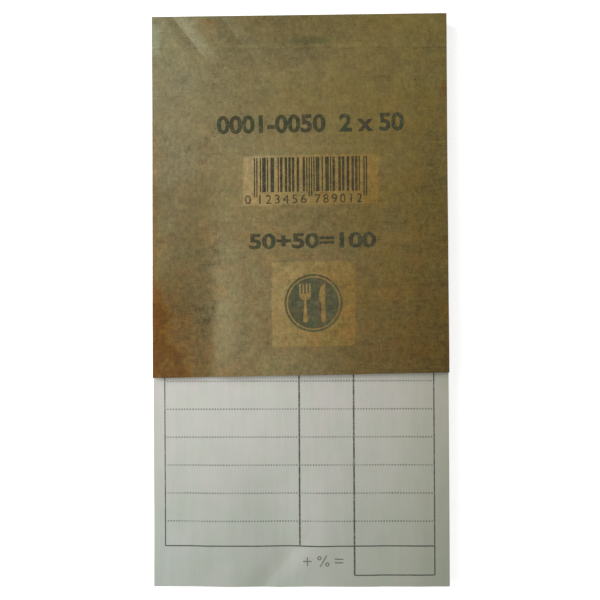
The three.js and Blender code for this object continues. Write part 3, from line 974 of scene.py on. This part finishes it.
def form_sheet(name, low, wave, shift, finishes, top=None):
    """One form, its lower face at low, from its top to the pad's lower edge, with a share of the wave.

    With no top it is a torn-off leaf with ties. shift is how far the sheet lies off its neighbours.
    """
    across, reach = tied_columns()
    if top is None:
        share = np.linspace(0, 1, LEAF_ROWS)[:, None]
        upper = CREASE - TIE_END - (SLIT - TIE_END) * (1 - reach)
        y = upper * (1 - share) + BOTTOM_EDGE * share
    else:
        rows = creased_rows(top, STUB_ROWS, BOTTOM_EDGE, FORM_ROWS)
        y = np.repeat(rows[:, None], len(across), axis=1)
    x = np.broadcast_to(across, y.shape)
    loose = ease(CREASE - y, 0, 30 * MM)
    z = low + wave * form_wave(x, y)
    place = x + shift[0] * loose, y + shift[1] * loose
    return lying_sheet(name, *place, z, z + SHEET - SHEET_GAP, finishes, flat=(x, y))


NUMBER_WINDOW = (24.0, 36.0, 55.0, 59.0)
NUMBER_WEIGHT = 0.008
NUMBER_INK = 0.012 * MM
number_ink = ink_finish("figure_ink", srgb(120, 46, 40), srgb(150, 80, 70), 0.9, fine=0.5)


def form_number(name, number, base, wave, body):
    """A form's red number, on a sheet whose upper face lies at base with a share of the wave."""

    def surface(x, y):
        return base + wave * form_wave(x, y)

    figures = figures_outline(f"{number:04d}", NUMBER_WEIGHT)
    piece = print_curve(name, figures, NUMBER_WINDOW, number_ink, surface, 0, NUMBER_INK, NUMBER_INK)
    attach(piece, body)


offsets = np.random.default_rng(7).uniform(-0.12, 0.12, (2 * SETS, 2)) * MM
for number in range(1, SETS_LOOSE + 1):
    tag = f"{number:02d}"
    low = FORM_TOP - number * 2 * SHEET
    wave = 1.0 - 0.15 * (number - 1)
    copy_wave = wave - 0.05
    original = form_sheet(f"original_{tag}_leaf", low + SHEET, wave, offsets[2 * number], original_paper)
    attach(original, "original_leaf_" + tag)
    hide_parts("original_" + tag)
    copy = form_sheet(f"copy_{tag}_leaf", low, copy_wave, offsets[2 * number + 1], copy_paper, BINDING_EDGE)
    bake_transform(copy)
    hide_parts("copy_" + tag)
    x, y = np.meshgrid(np.linspace(-HALF_WIDTH, HALF_WIDTH, 12), np.linspace(BINDING_EDGE, CREASE, 6))
    base = low + SHEET
    stub = lying_sheet(f"original_{tag}_stub", x, y, base, base + SHEET - SHEET_GAP, original_paper)
    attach(stub, "pad")
    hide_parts("stub_" + tag)
    form_number(f"original_{tag}_number", number, low + 2 * SHEET, wave, "original_leaf_" + tag)
    form_number(f"copy_{tag}_number", number, low + SHEET, copy_wave, "copy_leaf_" + tag)

# The block: set 4 lies open when the three above are turned back, so its original is a full sheet
BLOCK_WAVE = 0.45
block_top = FORM_TOP - SETS_LOOSE * 2 * SHEET
first = form_sheet("block_04_original", block_top - SHEET, BLOCK_WAVE, (0, 0), original_paper, BINDING_EDGE)
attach(first, "pad")
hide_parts("set_04")
form_number("block_04_number", SETS_LOOSE + 1, block_top, BLOCK_WAVE, "pad")

EDGE_DRIFT, EDGE_STEP = 0.12, 0.035
BUNDLE, BUNDLE_OFF, SHEET_OFF = 9, 0.11, 0.05
# The edges' pattern counts sheets from below the floor, so that it starts on an even one
EDGE_COUNT_FROM = (block_top - SHEET * 200) / MM


def block_edges():
    """Cut edges of white and yellow sheets by turns, with the odd sheet a shade darker."""
    edge = Finish("form_block_edges")
    across, along, height = edge.object_place("XYZ")
    z = (height - EDGE_COUNT_FROM) / (SHEET / MM)
    turn = (z * 0.5 + 0.5).fraction().step(0.48, 0.52)
    layer = edge.noise(z * 0.9, across * 0.02 + along * 0.02)
    fibre = edge.noise(edge.x * 2.0 + edge.y * 2.0, z * 0.8, detail=3, roughness=0.7)
    colour = edge.mix(ORIGINAL_PAPER, COPY_PAPER, turn * 0.6)
    colour = edge.mix(colour, srgb(124, 118, 98), layer.step(0.50, 0.70) * 0.55)
    colour = edge.mix(colour, srgb(214, 210, 190), fibre.step(0.55, 0.8) * 0.3)
    edge.set(Base_Color=colour, Roughness=0.9)
    edge.raise_by(fibre, 0.4, 0.05 * MM)
    return edge.material


def block_sheets():
    """The sheets below that one, down to the board: thin plates, each a little off its neighbours.

    How far off is a slow random walk, plus a step that a bundle of sheets shares, plus the sheet's own.
    """
    count = 2 * (SETS - SETS_LOOSE) - 1
    low = (block_top - SHEET * (2 + np.arange(count)))[:, None, None]
    draw = np.random.default_rng(11)
    drift = np.cumsum(draw.normal(0, EDGE_STEP, (count, 3)), axis=0)
    bundles = draw.uniform(-BUNDLE_OFF, BUNDLE_OFF, (count // BUNDLE + 1, 3))
    drift = np.clip(drift - drift.mean(axis=0), -EDGE_DRIFT, EDGE_DRIFT)
    drift = drift + np.repeat(bundles, BUNDLE, axis=0)[:count]
    drift = drift + draw.uniform(-SHEET_OFF, SHEET_OFF, (count, 3))
    right, left, bottom = (drift * MM).T[:, :, None, None]
    side = np.array([[-1.0, 1.0], [-1.0, 1.0]])
    x = side * HALF_WIDTH + np.where(side > 0, right, left)
    y = np.where(side.T < 0, BINDING_EDGE, BOTTOM_EDGE + bottom)
    return lying_sheet("form_block", x, y, low, low + SHEET - SHEET_GAP, [block_edges()])


block = block_sheets()
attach(block, "pad")
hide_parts(*[f"set_{number:02d}" for number in range(SETS_LOOSE + 2, SETS + 1)])

# Board and staple
# The back is a millimetre of grey chipboard. One flat-wire staple goes through the stubs and the board, and
# its legs are clinched behind, in grooves.


def chipboard_finish():
    """Grey chipboard: paler and darker pulp with dark flecks, and a shallow relief."""
    board = Finish("chipboard", uv_map=None)
    x, y, z = board.object_place("XYZ")
    pulp = board.noise(x * 1.2, y * 1.2, detail=4, layer=z * 4)
    cell = {"Vector": board.place(x * 1.6, y * 1.6, z * 3), "Scale": 1.0}
    fleck = board.add("ShaderNodeTexVoronoi", {}, cell)
    colour = board.mix(srgb(142, 136, 122), srgb(112, 106, 94), pulp.step(0.4, 0.65))
    colour = board.mix(colour, srgb(80, 74, 64), fleck.step(0.16, 0.08) * 0.6)
    board.set(Base_Color=colour, Roughness=0.95)
    board.raise_by(pulp, 0.5, 0.08 * MM)
    return board.material


def wire_finish():
    """Bright drawn wire with fine lines along it."""
    wire = Finish("staple_wire", uv_map=None)
    x, y, z = wire.object_place("XYZ")
    drawn = wire.noise(x * 0.6, y * 14, layer=z * 14)
    wire.set(Base_Color=wire.mix(srgb(182, 184, 186), srgb(150, 152, 156), drawn), Metallic=1.0,
             Roughness=(0.26 + drawn * 0.16).held())
    return wire.material


for node, finish in (("backing_board", chipboard_finish()), ("staple", wire_finish())):
    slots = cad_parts[node].data.materials
    slots.clear()
    slots.append(finish)

# Floor, lamps and world
# A pale floor that carries the pad's shadow, a soft lamp at the upper left, a weak one low at the right, and
# an even sky.

FLOOR = 3.0
FLOOR_DROP = 0.05 * MM
floor_mesh = bpy.data.meshes.new("floor")
floor_mesh.from_pydata([(-FLOOR, -FLOOR, 0), (FLOOR, -FLOOR, 0), (FLOOR, FLOOR, 0), (-FLOOR, FLOOR, 0)], [],
                       [(0, 1, 2, 3)])
floor = put("floor", floor_mesh)
floor.location.z = -FLOOR_DROP


def floor_finish():
    """Pale matt floor, which a camera, mirror or glass ray sees brought up to white, less the shadow."""
    pale = Finish("floor", uv_map=None)
    x, y = pale.object_place("XY")
    raised = 0.68 + ((x ** 2 + y ** 2) ** 0.5).step(160, 550) * 0.20
    pale.set(Base_Color=(0.82, 0.82, 0.82, 1), Roughness=0.9, Emission_Strength=1.0,
             Emission_Color=pale.shade((1.0, 1.0, 1.0), pale.seen() * raised))
    return pale.material


floor_mesh.materials.append(floor_finish())

# The sky lights the pad evenly. A camera, mirror or glass ray sees it white, as a backdrop.
sky = Finish("sky", None, bpy.data.worlds, "Background")
sky.set(Color=(0.97, 1.0, 1.0, 1), Strength=0.165)
backdrop = sky.add("ShaderNodeBackground", {}, {"Color": (1, 1, 1, 1)})
shown = sky.add("ShaderNodeMixShader", {}, [sky.seen(), Value(sky, sky.shader.outputs[0]), backdrop])
sky.fill(sky.nodes["World Output"].inputs["Surface"], shown)
scene.world = sky.material


def lamp(name, place, size, power, colour):
    """A square area lamp at a place, turned to the pad's middle."""
    data = bpy.data.lights.new(name, "AREA")
    data.size = size
    data.energy = power
    data.color = colour
    light = put(name, data)
    light.location = place
    x, y, z = place
    light.rotation_euler = (math.atan2(math.hypot(x, y), z), 0, math.atan2(-y, -x) - math.pi / 2)


lamp("window", (-0.175, 0.06, 0.23), 0.26, 0.93, (1.0, 0.99, 0.96))
lamp("fill", (0.36, -0.30, 0.14), 0.35, 0.80, (1.0, 1.0, 1.0))

scene.view_settings.view_transform = "Standard"
